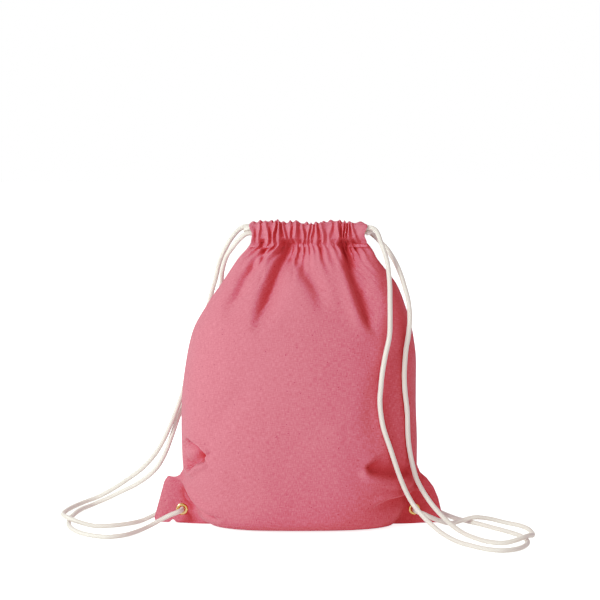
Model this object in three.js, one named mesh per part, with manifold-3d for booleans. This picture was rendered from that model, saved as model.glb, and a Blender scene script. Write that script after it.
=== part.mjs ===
// Drawstring backpack (gymsac) of cotton canvas, filled and standing on its base,
// with its mouth drawn nearly shut and its cord straps lying on the surface beside it.
//
// Units are millimetres. +Z is up, +X is to the right of a viewer facing the front,
// and +Y points away from that viewer. The origin is on the standing surface, under
// the middle of the bag.

import * as THREE from 'three';
import * as BufferGeometryUtils from 'three/addons/utils/BufferGeometryUtils.js';
import ManifoldModule from 'manifold-3d';

// ---------------------------------------------------------------- driving sizes

const CLOTH = 1.2;            // a canvas wall, drawn thicker than the real 0.6 for a sound solid
const SEAM_GAP = 0.3;         // each panel stops this far short of the seam plane y = 0
const PANEL_COLUMNS = 20;
const CHANNEL_SIDES = 16;
const HOLE_SIDES = 20;
const EYELET_SIDES = 16;

// The hull of the bag, from the standing surface to the foot of the cord channel:
// height, left edge, right edge and half depth of its oval section.
const STATIONS = [
  { z: 0, left: -118, right: 126, depth: 38 },
  { z: 10, left: -133, right: 131, depth: 54 },
  { z: 25, left: -143, right: 141, depth: 64 },
  { z: 50, left: -149, right: 149, depth: 72 },
  { z: 86, left: -153, right: 155, depth: 76 },
  { z: 128, left: -154, right: 154, depth: 77 },
  { z: 171, left: -153, right: 153, depth: 76 },
  { z: 213, left: -148, right: 153, depth: 73 },
  { z: 255, left: -139, right: 148, depth: 66 },
  { z: 297, left: -116, right: 136, depth: 52 },
  { z: 318, left: -101, right: 127, depth: 43 },
  { z: 339, left: -87, right: 111, depth: 33 },
  { z: 352, left: -78, right: 100, depth: 26 },
];
const BASE_INSET = 6;         // the bottom seam is this much shorter at each end than the base

const EAR_GAP = 0.6;          // half the space between the two layers of a flat bottom corner
const EAR_LAYER = 1.0;
const EAR_OVERLAP = 0.84;     // how far a corner reaches into the hull's wall
const EAR_TOP = 80;           // the corners lie beside the part of the hull below this

const EYELET_HEIGHT = 20.5;
const LEFT_EYELET_X = -154;
const RIGHT_EYELET_X = 151.5;
const EYELET_BORE = 4.2;      // radii
const EYELET_BARREL = 4.9;
const EYELET_FLANGE = 7.6;
const WASHER_HOLE = 5.2;
const CLOTH_HOLE = 5.3;
const HOLE_LENGTH = 12;

const CHANNEL_LEFT = -62;
const CHANNEL_RIGHT = 86;
const CHANNEL_FOOT = 353;
const CHANNEL_TOP = 399;
const CHANNEL_THICKNESS = 11;
const MOUTH_GAP = 4;          // half the open width of the drawn mouth at its ends
const MOUTH_BOW = 3;          // and how much wider each side stands in the middle
const CHANNEL_CORNER = 0.5;   // exponent that rounds the channel's section

const CORD_RADIUS = 3;
const CORD_SIDES = 8;
const STRAND_STEPS = 72;
const RUN_STEPS = 12;
const TOUCH_GAP = 1.0;        // between cord pieces that meet end to end
const UPPER_RUN = 391.5;      // heights of the two cords that share each channel
const LOWER_RUN = 384.9;
const TURN_REACH = 6;

const KNOT_RADIUS = 8;
const KNOT_Y = 13.3;
const KNOT_OUT = 2;           // where a knot sits from its eyelet's axis
const KNOT_DROP = 2.5;
const KNOT_SIDES = 14;
const KNOT_RINGS = 10;

const SEAM_ALLOWANCE = 8;     // width of the sewn edges that stand inside the bag
const ALLOWANCE_GAP = 1.2;    // between a sewn edge and the panels outside it
const BOTTOM_ALLOWANCE_CUT = 18;  // how much shorter it is at each end than the base
const BOTTOM_ALLOWANCE_FOOT = 1.7;
const STITCH_HEIGHT = 371;
const STITCH_WIDTH = 1.2;
const STITCH_BASE = 0.4;      // heights of the thread's two faces above the channel
const STITCH_TOP = 1.0;
const STITCH_INSET = 2;       // from each end of the channel

// ---------------------------------------------------------------- materials

const canvas = { color: 0xd9788a, roughness: 0.92, metalness: 0 };
const cotton = { color: 0xefeadb, roughness: 0.88, metalness: 0 };
const thread = { color: 0xd27486, roughness: 0.8, metalness: 0 };
const brass = { color: 0xd3b269, roughness: 0.3, metalness: 1 };

const backpack = new THREE.Group();

function addNode(name, geometry, finish) {
  const mesh = new THREE.Mesh(geometry, new THREE.MeshStandardMaterial(finish));
  mesh.name = name;
  backpack.add(mesh);
}

// ---------------------------------------------------------------- closed shells

function signedVolume(points, triangles) {
  let sum = 0;
  for (let i = 0; i < triangles.length; i += 3) {
    const [a, b, c] = [0, 1, 2].map((k) => points[triangles[i + k]]);
    sum += a.dot(new THREE.Vector3().crossVectors(b, c));
  }
  return sum;
}

// A wall between two faces, outer(u, v) and inner(u, v), with u and v from 0 to 1.
// Its four edges are closed by strips, or only two of them where u runs round a tube.
function wall(outer, inner, columns, rows, around = false) {
  const points = [];
  const triangles = [];
  const perRow = around ? columns : columns + 1;
  for (const face of [outer, inner]) {
    for (let row = 0; row <= rows; row++) {
      for (let column = 0; column < perRow; column++) {
        points.push(face(column / columns, row / rows));
      }
    }
  }
  const at = (face, column, row) => {
    return face * perRow * (rows + 1) + row * perRow + (column % perRow);
  };
  const quad = (a, b, c, d) => triangles.push(a, b, c, a, c, d);
  for (let row = 0; row < rows; row++) {
    for (let column = 0; column < columns; column++) {
      const [u0, u1, v0, v1] = [column, column + 1, row, row + 1];
      quad(at(0, u0, v0), at(0, u1, v0), at(0, u1, v1), at(0, u0, v1));
      quad(at(1, u0, v1), at(1, u1, v1), at(1, u1, v0), at(1, u0, v0));
    }
  }
  for (let column = 0; column < columns; column++) {
    const next = column + 1;
    quad(at(0, next, 0), at(0, column, 0), at(1, column, 0), at(1, next, 0));
    quad(at(0, column, rows), at(0, next, rows), at(1, next, rows), at(1, column, rows));
  }
  if (!around) {
    for (let row = 0; row < rows; row++) {
      const next = row + 1;
      quad(at(0, 0, row), at(0, 0, next), at(1, 0, next), at(1, 0, row));
      quad(at(0, columns, next), at(0, columns, row), at(1, columns, row), at(1, columns, next));
    }
  }
  if (signedVolume(points, triangles) < 0) triangles.reverse();
  const geometry = new THREE.BufferGeometry();
  geometry.setFromPoints(points);
  geometry.setIndex(triangles);
  return geometry;
}

// ---------------------------------------------------------------- booleans

const wasm = await ManifoldModule();
wasm.setup();

function toSolid(geometry) {
  const bare = geometry.clone();
  bare.deleteAttribute('normal');
  bare.deleteAttribute('uv');
  const merged = BufferGeometryUtils.mergeVertices(bare, 1e-4);
  return new wasm.Manifold(new wasm.Mesh({
    numProp: 3,
    vertProperties: new Float32Array(merged.attributes.position.array),
    triVerts: new Uint32Array(merged.index.array),
  }));
}

function toGeometry(solid) {
  const mesh = solid.getMesh();
  const geometry = new THREE.BufferGeometry();
  geometry.setAttribute('position', new THREE.BufferAttribute(mesh.vertProperties, mesh.numProp));
  geometry.setIndex(new THREE.BufferAttribute(mesh.triVerts, 1));
  return geometry;
}

// ---------------------------------------------------------------- panels and corners

// One face of a panel. side is -1 for the front and +1 for the back, and inset moves
// the face inwards from the outside of the cloth.
function panelFace(side, inset) {
  const seam = { ...STATIONS[0], depth: inset };
  seam.left += BASE_INSET;
  seam.right -= BASE_INSET;
  const rows = [seam, ...STATIONS];
  return (u, v) => {
    const row = rows[Math.round(v * (rows.length - 1))];
    const left = row.left + inset;
    const right = row.right - inset;
    const angle = (u - 0.5) * Math.PI;
    const x = (left + right) / 2 + ((right - left) / 2) * Math.sin(angle);
    const y = SEAM_GAP + (row.depth - inset) * Math.cos(angle);
    return new THREE.Vector3(x, side * y, Math.max(row.z, inset));
  };
}

// The flat corner beside the filled hull: two layers of canvas, square at the bottom,
// with a nick in the top edge where the side seam starts.
const LEFT_EAR = [
  [-151, 73], [-157, 66], [-163, 63], [-172, 65],
  [-177, 58], [-183, 36], [-191, 8], [-188, 2],
];
const RIGHT_EAR = [
  [155, 80], [159, 70], [168, 62], [177, 50],
  [183, 36], [187, 20], [191, 7], [187, 1],
];

function earLayer(side, outline, edge) {
  const inner = STATIONS.filter((row) => row.z < EAR_TOP).map((row) => {
    const inward = edge === 'left' ? EAR_OVERLAP : -EAR_OVERLAP;
    return new THREE.Vector2(row[edge] + inward, Math.max(row.z, 1));
  });
  const outer = outline.map(([x, z]) => new THREE.Vector2(x, z));
  const shape = new THREE.Shape([...inner, ...outer]);
  const layer = new THREE.ExtrudeGeometry(shape, { depth: EAR_LAYER, bevelEnabled: false });
  layer.rotateX(Math.PI / 2);
  layer.translate(0, side < 0 ? -EAR_GAP : EAR_GAP + EAR_LAYER, 0);
  return layer;
}

function eyeletHole(x) {
  const hole = new THREE.CylinderGeometry(CLOTH_HOLE, CLOTH_HOLE, HOLE_LENGTH, HOLE_SIDES);
  hole.translate(x, 0, EYELET_HEIGHT);
  return hole;
}

function panel(side) {
  const shell = wall(panelFace(side, 0), panelFace(side, CLOTH), PANEL_COLUMNS, STATIONS.length);
  return toGeometry(
    toSolid(shell)
      .add(toSolid(earLayer(side, LEFT_EAR, 'left')))
      .add(toSolid(earLayer(side, RIGHT_EAR, 'right')))
      .subtract(toSolid(eyeletHole(LEFT_EYELET_X)))
      .subtract(toSolid(eyeletHole(RIGHT_EYELET_X))),
  );
}

addNode('front_panel', panel(-1), canvas);
addNode('back_panel', panel(1), canvas);

// ---------------------------------------------------------------- seam allowances

// The sewn edges of the two panels, turned inside. Each side one follows the hull's edge.
function sideAllowance(edge) {
  const rows = STATIONS.slice(2);
  const inward = edge === 'left' ? 1 : -1;
  const face = (side) => (u, v) => {
    const row = rows[Math.round(v * (rows.length - 1))];
    const x = row[edge] + inward * (CLOTH + ALLOWANCE_GAP + u * SEAM_ALLOWANCE);
    return new THREE.Vector3(x, side * CLOTH / 2, row.z);
  };
  return wall(face(-1), face(1), 1, rows.length - 1);
}

function bottomAllowance() {
  const length = STATIONS[0].right - STATIONS[0].left - 2 * BOTTOM_ALLOWANCE_CUT;
  const strip = new THREE.BoxGeometry(length, CLOTH, SEAM_ALLOWANCE);
  const middle = (STATIONS[0].right + STATIONS[0].left) / 2;
  strip.translate(middle, 0, BOTTOM_ALLOWANCE_FOOT + SEAM_ALLOWANCE / 2);
  return strip;
}

addNode('left_seam_allowance', sideAllowance('left'), canvas);
addNode('right_seam_allowance', sideAllowance('right'), canvas);
addNode('bottom_seam_allowance', bottomAllowance(), canvas);

// ---------------------------------------------------------------- cord channels

const channelMiddle = (CHANNEL_LEFT + CHANNEL_RIGHT) / 2;
const channelHalf = (CHANNEL_RIGHT - CHANNEL_LEFT) / 2;
const channelHeight = CHANNEL_TOP - CHANNEL_FOOT;

// Distance of the channel's centre line from the seam plane, where it passes x.
function channelOffset(x) {
  const s = (x - channelMiddle) / channelHalf;
  return MOUTH_GAP + CHANNEL_THICKNESS / 2 + MOUTH_BOW * Math.max(0, 1 - s * s);
}

const rounded = (value) => Math.sign(value) * Math.abs(value) ** CHANNEL_CORNER;

// The folded hem as a flat tube along X, open at both ends where the cords come out.
function channelFace(side, inset) {
  return (u, v) => {
    const x = CHANNEL_LEFT + v * (CHANNEL_RIGHT - CHANNEL_LEFT);
    const angle = u * 2 * Math.PI;
    const across = (CHANNEL_THICKNESS / 2 - inset) * rounded(Math.cos(angle));
    const up = (channelHeight / 2 - inset) * rounded(Math.sin(angle));
    const y = side * (channelOffset(x) + across);
    return new THREE.Vector3(x, y, CHANNEL_FOOT + channelHeight / 2 + up);
  };
}

// The row of thread that closes the channel, lying on its outer face.
function stitchRow(side) {
  const middle = CHANNEL_FOOT + channelHeight / 2;
  const level = Math.abs(STITCH_HEIGHT - middle) / (channelHeight / 2);
  const narrowing = (1 - level ** (2 / CHANNEL_CORNER)) ** (CHANNEL_CORNER / 2);
  const face = (lift) => (u, v) => {
    const x = CHANNEL_LEFT + STITCH_INSET + v * (2 * channelHalf - 2 * STITCH_INSET);
    const y = channelOffset(x) + (CHANNEL_THICKNESS / 2) * narrowing + lift;
    return new THREE.Vector3(x, side * y, STITCH_HEIGHT + (u - 0.5) * STITCH_WIDTH);
  };
  return wall(face(STITCH_BASE), face(STITCH_TOP), 1, RUN_STEPS);
}

for (const [name, side] of [['front', -1], ['back', 1]]) {
  const channel = wall(channelFace(side, 0), channelFace(side, CLOTH), CHANNEL_SIDES, RUN_STEPS, true);
  addNode(`${name}_channel`, channel, canvas);
  addNode(`${name}_channel_stitching`, stitchRow(side), thread);
}

// ---------------------------------------------------------------- eyelets

function turned(profile, x) {
  const outline = profile.map(([radius, y]) => new THREE.Vector2(radius, y));
  outline.push(outline[0].clone());
  const ring = new THREE.LatheGeometry(outline, EYELET_SIDES);
  ring.translate(x, 0, EYELET_HEIGHT);
  return ring;
}

// Barrel with its flange on the front, and its end rolled over the washer behind.
// Radius and distance from the seam plane.
const EYELET_PROFILE = [
  [EYELET_BORE, -2.5], [5.2, -2.9], [6.9, -2.8], [EYELET_FLANGE, -2.3], [EYELET_FLANGE, -1.9],
  [EYELET_BARREL, -1.9], [EYELET_BARREL, 3.0], [6.2, 3.0], [6.0, 3.6], [5.0, 3.8],
  [EYELET_BORE, 3.4],
];
const WASHER_PROFILE = [[WASHER_HOLE, 1.9], [7.4, 1.9], [7.4, 2.4], [WASHER_HOLE, 2.7]];

for (const [name, x] of [['left', LEFT_EYELET_X], ['right', RIGHT_EYELET_X]]) {
  addNode(`${name}_eyelet`, turned(EYELET_PROFILE, x), brass);
  addNode(`${name}_eyelet_washer`, turned(WASHER_PROFILE, x), brass);
}

// ---------------------------------------------------------------- cords

function cord(points, steps) {
  const stations = points.map((p) => new THREE.Vector3(...p));
  const path = new THREE.CatmullRomCurve3(stations, false, 'centripetal');
  const section = new THREE.Shape();
  section.absarc(0, 0, CORD_RADIUS, 0, 2 * Math.PI);
  const outline = new THREE.Shape(section.getPoints(CORD_SIDES / 2).slice(0, CORD_SIDES));
  return new THREE.ExtrudeGeometry(outline, { steps, extrudePath: path, bevelEnabled: false });
}

const knotLeftX = LEFT_EYELET_X - KNOT_OUT;
const knotRightX = RIGHT_EYELET_X + KNOT_OUT;
const knotZ = EYELET_HEIGHT - KNOT_DROP;

const leftStart = CHANNEL_LEFT - TOUCH_GAP;
const rightStart = CHANNEL_RIGHT + TOUCH_GAP;
const runY = channelOffset(CHANNEL_LEFT);
const eyeletExit = KNOT_Y - KNOT_RADIUS - TOUCH_GAP;
const knotReach = KNOT_RADIUS + TOUCH_GAP;

// Each strand starts at an end of a channel and finishes at its knot behind the corner.
// The rear strands pass behind the corner, and the front ones through its eyelet.
const LEFT_REAR = [
  [leftStart, runY, UPPER_RUN], [-69, 10.6, 392.4], [-78.5, 11.2, 387.5], [-88, 12, 376.5],
  [-96, 15, 363], [-104, 21, 345],
  [-109, 27, 324], [-115, 31, 303], [-124, 33, 270], [-135, 34, 233], [-146, 30, 196],
  [-158, 25, 159],
  [-168, 27, 133], [-181, 36, 104], [-194, 50, 82], [-213, 71, 59], [-233, 92, 41], [-257, 112, 22],
  [-279, 120, 9], [-298, 108, 4], [-311, 79, 3.2], [-316, 43, 4.5], [-312, 14, 8.5], [-304, -6, 10],
  [-289, -19, 7.5], [-267, -25, 3.4], [-246, -23, 3.2], [-223, -11, 3.2], [-207, 3, 4],
  [-195, 10, 8],
  [-184, 13, 13], [-175, KNOT_Y, 16.5], [knotLeftX - knotReach, KNOT_Y, knotZ],
];
const LEFT_FRONT = [
  [leftStart, -runY, LOWER_RUN], [-68, -9.8, 384], [-77, -9, 377], [-86, -4.5, 366],
  [-94, 3, 354], [-100, 12, 334],
  [-102, 23, 314], [-106, 33, 293], [-114, 42, 262], [-125, 46, 228], [-138, 42, 194],
  [-150, 36, 164],
  [-160, 33, 138], [-169, 34, 112], [-178, 39, 88], [-190, 49, 66], [-207, 63, 48], [-224, 76, 35],
  [-244, 89, 23], [-264, 97, 12], [-282, 93, 5], [-295, 74, 3.2], [-302, 40, 3.2], [-304, 5, 3.2],
  [-297, -34, 3.2], [-280, -63, 3.2], [-260, -79, 3.2], [-242, -84, 3.2], [-224, -75, 3.2],
  [-208, -53, 3.2],
  [-194, -34, 5.5], [-180, -25, 11.5], [-168, -22, 17], [-158, -17, 20],
  [LEFT_EYELET_X, -8, EYELET_HEIGHT],
  [LEFT_EYELET_X, eyeletExit, EYELET_HEIGHT],
];
const RIGHT_REAR = [
  [rightStart, -runY, UPPER_RUN], [92, -10.4, 392], [98, -13.8, 389.5], [102, -19.5, 383],
  [105, -25, 374], [109, -30, 363], [113, -34, 349], [115, -37, 334], [116, -40, 318],
  [116, -45, 302], [116, -51, 280], [115, -57, 257],
  [110, -61, 234], [106, -63, 211], [104, -64, 191], [103, -64, 173], [107, -63, 143],
  [117, -59, 112],
  [129, -53, 76], [138, -49, 54], [147, -50, 38], [156, -60, 28], [167, -75, 19], [181, -92, 10],
  [198, -110, 4], [216, -131, 3.2], [234, -148, 3.2], [252, -154, 3.2], [270, -146, 3.2],
  [283, -128, 3.2],
  [288, -106, 3.2], [283, -80, 3.2], [270, -58, 3.2], [254, -37, 3.2], [238, -16, 3.2],
  [224, 0, 3.2],
  [210, 9, 4.5], [196, 12.5, 9], [184, KNOT_Y, 14], [174, KNOT_Y, 17],
  [knotRightX + knotReach, KNOT_Y, knotZ],
];
const RIGHT_FRONT = [
  [rightStart, runY, LOWER_RUN], [92, 9.2, 384], [99, 6.5, 379], [106, 0.5, 372],
  [113, -6, 365], [120, -14, 355],
  [126, -21, 344], [131, -26, 332], [136, -30, 316], [140, -32, 301], [142, -34, 285],
  [142, -35, 271],
  [140, -37, 254], [137, -40, 236], [135, -43, 208], [136, -43, 184], [139, -41, 159],
  [141, -40, 118],
  [146, -36, 90], [153, -31, 66], [162, -31, 49], [172, -36, 35], [183, -42, 23], [195, -49, 12],
  [208, -62, 4.5], [220, -84, 3.2], [237, -108, 3.2], [256, -119, 4], [274, -117, 7.5],
  [287, -107, 10],
  [296, -89, 6.5], [299, -66, 3.2], [297, -42, 3.2], [288, -22, 3.2], [271, -9, 4], [250, -4, 8],
  [231, -5, 10], [213, -9, 6.5], [198, -15, 4.5], [184, -21, 9], [172, -24, 14.5], [161, -22, 19],
  [154, -16, 20.5], [RIGHT_EYELET_X, -8, EYELET_HEIGHT],
  [RIGHT_EYELET_X, eyeletExit, EYELET_HEIGHT],
];

addNode('left_cord_rear_strand', cord(LEFT_REAR, STRAND_STEPS), cotton);
addNode('left_cord_front_strand', cord(LEFT_FRONT, STRAND_STEPS), cotton);
addNode('right_cord_rear_strand', cord(RIGHT_REAR, STRAND_STEPS), cotton);
addNode('right_cord_front_strand', cord(RIGHT_FRONT, STRAND_STEPS), cotton);

// Each cord also runs through both channels, and turns back at the far end of the mouth.
function channelRun(side, height) {
  const points = [];
  for (let i = 0; i <= RUN_STEPS; i++) {
    const x = CHANNEL_LEFT + (i / RUN_STEPS) * (CHANNEL_RIGHT - CHANNEL_LEFT);
    points.push([x, side * channelOffset(x), height]);
  }
  return points;
}

function turnBack(x, direction, frontHeight, backHeight) {
  const points = [];
  for (let i = 0; i <= RUN_STEPS; i++) {
    const angle = (i / RUN_STEPS - 0.5) * Math.PI;
    const share = THREE.MathUtils.smoothstep(i, 0, RUN_STEPS);
    const height = THREE.MathUtils.lerp(frontHeight, backHeight, share);
    points.push([x + direction * TURN_REACH * Math.cos(angle), runY * Math.sin(angle), height]);
  }
  return points;
}

addNode('left_cord_front_run', cord(channelRun(-1, LOWER_RUN), RUN_STEPS), cotton);
addNode('left_cord_back_run', cord(channelRun(1, UPPER_RUN), RUN_STEPS), cotton);
addNode('right_cord_front_run', cord(channelRun(-1, UPPER_RUN), RUN_STEPS), cotton);
addNode('right_cord_back_run', cord(channelRun(1, LOWER_RUN), RUN_STEPS), cotton);
addNode('left_cord_turn', cord(turnBack(rightStart, 1, LOWER_RUN, UPPER_RUN), RUN_STEPS), cotton);
addNode('right_cord_turn', cord(turnBack(leftStart, -1, UPPER_RUN, LOWER_RUN), RUN_STEPS), cotton);

function knot(x) {
  const lump = new THREE.SphereGeometry(KNOT_RADIUS, KNOT_SIDES, KNOT_RINGS);
  lump.translate(x, KNOT_Y, knotZ);
  return lump;
}

addNode('left_knot', knot(knotLeftX), cotton);
addNode('right_knot', knot(knotRightX), cotton);

export default backpack;
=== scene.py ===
"""Blender model of a drawstring backpack (gymsac) of grapefruit canvas.

The bag is filled and stands on its base, its mouth drawn nearly shut by two braided
cotton cords that run through a folded channel and end in knots behind brass eyelets
in the bottom corners. Objects are in metres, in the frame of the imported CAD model:
+X to the viewer's right, +Y away from the viewer, +Z up, origin under the bag.
Tables and shapes that say so are in millimetres.
"""

import math

import bpy
import numpy as np
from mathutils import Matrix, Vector


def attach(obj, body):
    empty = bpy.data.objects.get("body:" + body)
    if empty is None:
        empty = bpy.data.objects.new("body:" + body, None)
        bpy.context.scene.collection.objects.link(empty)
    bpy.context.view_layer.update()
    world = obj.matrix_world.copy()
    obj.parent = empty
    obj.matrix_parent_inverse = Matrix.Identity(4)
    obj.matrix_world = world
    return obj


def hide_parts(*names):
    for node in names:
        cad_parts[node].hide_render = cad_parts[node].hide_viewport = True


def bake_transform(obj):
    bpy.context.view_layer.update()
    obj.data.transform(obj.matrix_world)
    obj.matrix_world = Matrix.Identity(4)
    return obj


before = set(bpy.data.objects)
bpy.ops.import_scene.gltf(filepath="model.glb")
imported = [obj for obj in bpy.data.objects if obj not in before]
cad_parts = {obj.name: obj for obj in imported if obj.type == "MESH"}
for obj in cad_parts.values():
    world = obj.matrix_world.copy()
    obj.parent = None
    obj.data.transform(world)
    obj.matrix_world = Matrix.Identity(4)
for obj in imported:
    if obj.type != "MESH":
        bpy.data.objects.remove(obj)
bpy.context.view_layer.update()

MM = 0.001
FRONT = -1
BACK = 1

# ------------ camera

AIM = Vector((0.0013, 0, 0.297))
CAMERA_DISTANCE = 2.4
CAMERA_PITCH = math.radians(6.5)
FOCAL_LENGTH = 110.77
SENSOR_WIDTH = 36


def make_camera():
    data = bpy.data.cameras.new("camera")
    data.lens = FOCAL_LENGTH
    data.sensor_width = SENSOR_WIDTH
    camera = bpy.data.objects.new("camera", data)
    back = Vector((0, -math.cos(CAMERA_PITCH), math.sin(CAMERA_PITCH)))
    camera.location = AIM + CAMERA_DISTANCE * back
    camera.rotation_euler = (math.pi / 2 - CAMERA_PITCH, 0, 0)
    bpy.context.scene.collection.objects.link(camera)
    bpy.context.scene.camera = camera


# ------------ sizes

CORD_RADIUS = 0.003
CHANNEL_LEFT = -0.062
CHANNEL_RIGHT = 0.086
CHANNEL_MIDDLE = (CHANNEL_LEFT + CHANNEL_RIGHT) / 2
CHANNEL_HALF = (CHANNEL_RIGHT - CHANNEL_LEFT) / 2
RUN_OFFSET = 0.0095  # from the seam plane to the cords at the channels' ends
MOUTH_BOW = 0.003  # and how much further out they are in the middle
UPPER_RUN = 0.3915
LOWER_RUN = 0.3849
RUN_GAP = 0.001  # between a run, the channel's end and the next stretch of cord
TURN_REACH = 0.006  # how far a cord's turn stands out past the channel
STITCH_HEIGHT = 0.371
FLAT_WIDTH = 0.370  # of one panel before it was sewn

EYELET_HEIGHT = 0.0205
LEFT_EYELET_X = -0.154
RIGHT_EYELET_X = 0.1515
KNOT_Y = 0.0133
KNOT_Z = 0.018
LEFT_KNOT_X = -0.156
RIGHT_KNOT_X = 0.1535

# ------------ small mathematics

CURVE_SAMPLES = 24  # between two points of a curve, before it is resampled
NOISE_SIZE = 64  # lattice points each way before the noise repeats


def smoothstep(value):
    value = np.clip(value, 0, 1)
    return value * value * (3 - 2 * value)


def smooth_curve(x, knots, values):
    """A cubic through (knots, values) without overshoot, at x."""
    knots = np.asarray(knots, float)
    values = np.asarray(values, float)
    steps = np.diff(knots)
    slopes = np.diff(values) / steps
    tangents = np.zeros_like(values)
    for i in range(1, len(knots) - 1):
        if slopes[i - 1] * slopes[i] > 0:
            tangents[i] = 2 * slopes[i - 1] * slopes[i] / (slopes[i - 1] + slopes[i])
    tangents[0] = slopes[0]
    tangents[-1] = slopes[-1]
    x = np.clip(x, knots[0], knots[-1])
    i = np.clip(np.searchsorted(knots, x, side="right") - 1, 0, len(knots) - 2)
    t = (x - knots[i]) / steps[i]
    h00 = (1 + 2 * t) * (1 - t) ** 2
    h10 = t * (1 - t) ** 2
    h01 = t * t * (3 - 2 * t)
    h11 = t * t * (t - 1)
    ends = h00 * values[i] + h01 * values[i + 1]
    return ends + steps[i] * (h10 * tangents[i] + h11 * tangents[i + 1])


def unit(vectors):
    lengths = np.linalg.norm(vectors, axis=-1, keepdims=True)
    return vectors / np.maximum(lengths, 1e-12)


def lengths_along(line):
    """How far along a line of points each of them is."""
    gaps = np.linalg.norm(np.diff(line, axis=0), axis=1)
    return np.concatenate([[0], np.cumsum(gaps)])


def points_at(line, along, at):
    """The points of a line at the given distances along it."""
    return np.stack([np.interp(at, along, values) for values in line.T], axis=1)


def catmull_rom(points, step):
    """A centripetal Catmull-Rom curve through points, with a point at every step."""
    points = np.asarray(points, float)
    first = 2 * points[0] - points[1]
    last = 2 * points[-1] - points[-2]
    padded = np.vstack([first, points, last])
    dense = []
    for i in range(len(points) - 1):
        p = padded[i : i + 4]
        gaps = np.sqrt(np.linalg.norm(np.diff(p, axis=0), axis=1))
        t = np.concatenate([[0], np.cumsum(gaps)])
        u = np.linspace(t[1], t[2], CURVE_SAMPLES, endpoint=False)[:, None]
        a1 = (t[1] - u) / gaps[0] * p[0] + (u - t[0]) / gaps[0] * p[1]
        a2 = (t[2] - u) / gaps[1] * p[1] + (u - t[1]) / gaps[1] * p[2]
        a3 = (t[3] - u) / gaps[2] * p[2] + (u - t[2]) / gaps[2] * p[3]
        b1 = (t[2] - u) / (t[2] - t[0]) * a1 + (u - t[0]) / (t[2] - t[0]) * a2
        b2 = (t[3] - u) / (t[3] - t[1]) * a2 + (u - t[1]) / (t[3] - t[1]) * a3
        dense.append((t[2] - u) / gaps[1] * b1 + (u - t[1]) / gaps[1] * b2)
    dense.append(points[-1:])
    dense = np.vstack(dense)
    along = lengths_along(dense)
    count = max(2, int(round(along[-1] / step)) + 1)
    return points_at(dense, along, np.linspace(0, along[-1], count))


def lattice_noise(u, v, cell, seed):
    """Smooth noise from -1 to 1 on a plane, the same on each run."""
    values = np.random.RandomState(seed).uniform(-1, 1, (NOISE_SIZE, NOISE_SIZE))
    x = u / cell + 17
    y = v / cell + 23
    i = np.floor(x).astype(int)
    j = np.floor(y).astype(int)
    a = smoothstep(x - i)
    b = smoothstep(y - j)

    def corner(right, up):
        return values[(i + right) % NOISE_SIZE, (j + up) % NOISE_SIZE]

    low = corner(0, 0) * (1 - a) + corner(1, 0) * a
    high = corner(0, 1) * (1 - a) + corner(1, 1) * a
    return low * (1 - b) + high * b


# ------------ meshes


def mesh_object(name, points, faces, material, corner_uv=None, normals=None):
    """A smooth object, with uv for each corner of its faces and a normal for each point."""
    mesh = bpy.data.meshes.new(name)
    mesh.from_pydata(np.asarray(points, float).tolist(), [], [list(map(int, f)) for f in faces])
    mesh.materials.append(material)
    mesh.polygons.foreach_set("use_smooth", np.ones(len(mesh.polygons), bool))
    if corner_uv is not None:
        layer = mesh.uv_layers.new(name="UVMap")
        layer.data.foreach_set("uv", corner_uv.astype(np.float32).ravel())
    if normals is not None:
        mesh.normals_split_custom_set_from_vertices(normals.tolist())
    mesh.update()
    piece = bpy.data.objects.new(name, mesh)
    bpy.context.scene.collection.objects.link(piece)
    return piece


def grid_quads(index):
    """The faces between the rows and columns of a grid of vertex numbers."""
    corners = [index[:-1, :-1], index[:-1, 1:], index[1:, 1:], index[1:, :-1]]
    return np.stack(corners, axis=2).reshape(-1, 4)


def grid_normals(points):
    """Unit normals of a grid of points[row, column], as d/dcolumn x d/drow."""
    across = np.gradient(points, axis=1)
    up = np.gradient(points, axis=0)
    return unit(np.cross(across, up))


def thick_sheet(name, outer, normals, thickness, uv, material, flip):
    """A closed sheet of cloth from a grid: the outer face, an inner face behind it and a rim."""
    inner = outer - normals * thickness
    points = np.concatenate([outer.reshape(-1, 3), inner.reshape(-1, 3)])
    shading = np.concatenate([normals.reshape(-1, 3), -normals.reshape(-1, 3)])
    uvs = np.concatenate([uv.reshape(-1, 2), uv.reshape(-1, 2)])
    far = len(points) // 2
    index = np.arange(far).reshape(outer.shape[:2])
    quads = [grid_quads(index), grid_quads(index)[:, ::-1] + far]
    for edge in (index[0, ::-1], index[:, 0], index[-1, :], index[::-1, -1]):
        start = edge[:-1]
        end = edge[1:]
        quads.append(np.stack([start, end, end + far, start + far], 1))
    faces = np.concatenate(quads)
    if flip:
        faces = faces[:, ::-1]
    return mesh_object(name, points, faces, material, uvs[faces.ravel()], shading)


# ------------ materials

THREAD_PITCH = 0.0008  # of the canvas weave
CANVAS_DARK = (0.50, 0.133, 0.155, 1)
CANVAS_PINK = (0.66, 0.217, 0.246, 1)
CANVAS_FADED = (0.70, 0.26, 0.291, 1)
CANVAS_GAP_SHADE = (0.40, 0.08, 0.099, 1)
CANVAS_SPECK = (0.22, 0.05, 0.07, 1)
# painted shade for folds and hollows, mixed in where the cloth closes in
CANVAS_PAINTED_SHADE = (0.42, 0.05, 0.055, 1)
PAINTED_SHADE_REACH = 0.03  # painted shade: a fold is painted darker where its other side is nearer than this
SEWING_TWIST_SHADE = (0.48, 0.12, 0.142, 1)
SEWING_PINK = (0.66, 0.21, 0.24, 1)
COTTON = (0.87, 0.85, 0.775, 1)
COTTON_GROOVE_SHADE = (0.44, 0.41, 0.33, 1)
COTTON_PALE = (0.92, 0.90, 0.83, 1)
BRASS_DARK = (0.72, 0.50, 0.20, 1)
BRASS_BRIGHT = (0.86, 0.68, 0.36, 1)
BRAID_STARTS = 8  # diamonds around the cord
BRAID_PITCH = 0.034  # length of cord in which a yarn winds once around


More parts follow.
